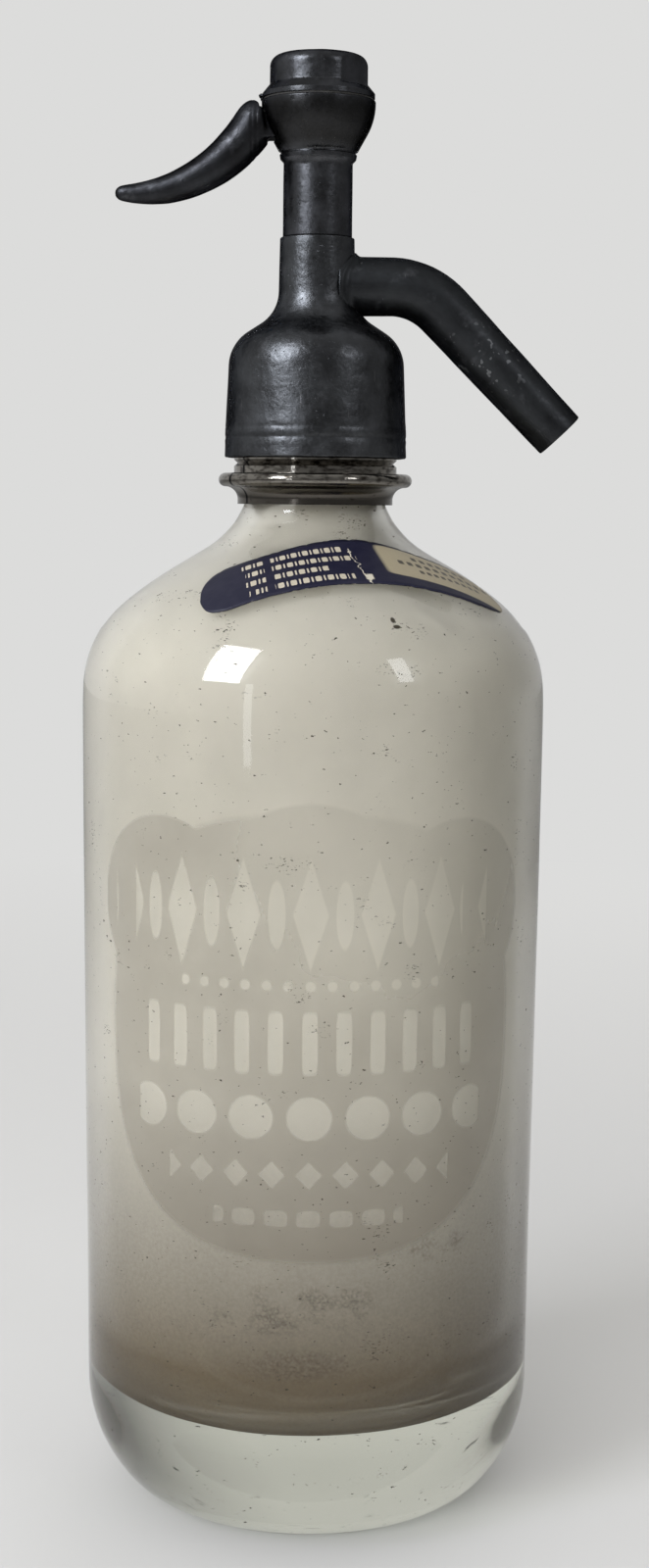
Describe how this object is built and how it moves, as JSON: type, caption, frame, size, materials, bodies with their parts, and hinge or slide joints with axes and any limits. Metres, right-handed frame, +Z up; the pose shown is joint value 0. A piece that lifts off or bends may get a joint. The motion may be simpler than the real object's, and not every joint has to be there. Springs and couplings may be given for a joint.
{
  "type": "soda siphon",
  "caption": "Glass soda siphon with a cast valve head: pressing the curved lever lifts a spring-loaded valve so that gas drives the drink up a tube and out of the spout",
  "frame": {"origin": "centre of the round foot, on the plane that the bottle stands on", "axes": "+Z up along the bottle's axis, +X towards the spout, -X towards the lever, so the XZ plane holds both"},
  "size_m": [0.1, 0.0938, 0.2926],
  "materials": {
    "clear_glass": "blown clear glass, faintly green where it is thick, hazed inside and finely scratched",
    "printed_paper": "printed paper label, navy with a cream panel, rubbed at its edges",
    "plated_brass": "nickel plating over brass, tarnished",
    "tin_alloy": "cast and turned tin alloy, dark grey with age, half-dull",
    "rubber": "black rubber",
    "brass": "turned brass",
    "spring_wire": "drawn steel wire"
  },
  "bodies": {
    "root": {"bottle": "clear_glass", "shoulder_label": "printed_paper", "collar_half_front": "plated_brass", "collar_half_rear": "plated_brass", "neck_gasket": "rubber", "dip_tube": "clear_glass", "tube_packing": "rubber", "tube_gland": "brass", "bell_casting": "tin_alloy", "spout": "tin_alloy", "valve_seat": "brass", "joint_washer": "rubber", "upper_casting": "tin_alloy", "stem_packing": "rubber", "stem_gland": "brass", "lever_pin": "brass", "cap_washer": "rubber", "top_cap": "tin_alloy", "spring": "spring_wire"},
    "lever": {"lever": "tin_alloy"},
    "stem": {"valve_stem": "brass", "valve_washer": "rubber", "valve_nut": "brass", "lift_collar": "brass", "spring_seat": "brass"}
  },
  "joints": [
    {"name": "lever_press", "type": "hinge", "parent": "root", "child": "lever", "pos_m": [-0.0083, 0, 0.2788], "axis": [0, -1, 0], "range_deg": [0, 18], "stiffness_Nm_per_rad": 0.9, "springref_deg": -6.88},
    {"name": "stem_lift", "type": "slide", "parent": "root", "child": "stem", "axis": [0, 0, 1], "range_m": [0, 0.0027], "deforming": ["spring"]}
  ],
  "couplings": [
    {"joint": "stem_lift", "follows": "lever_press", "m_per_rad": 0.0083}
  ]
}
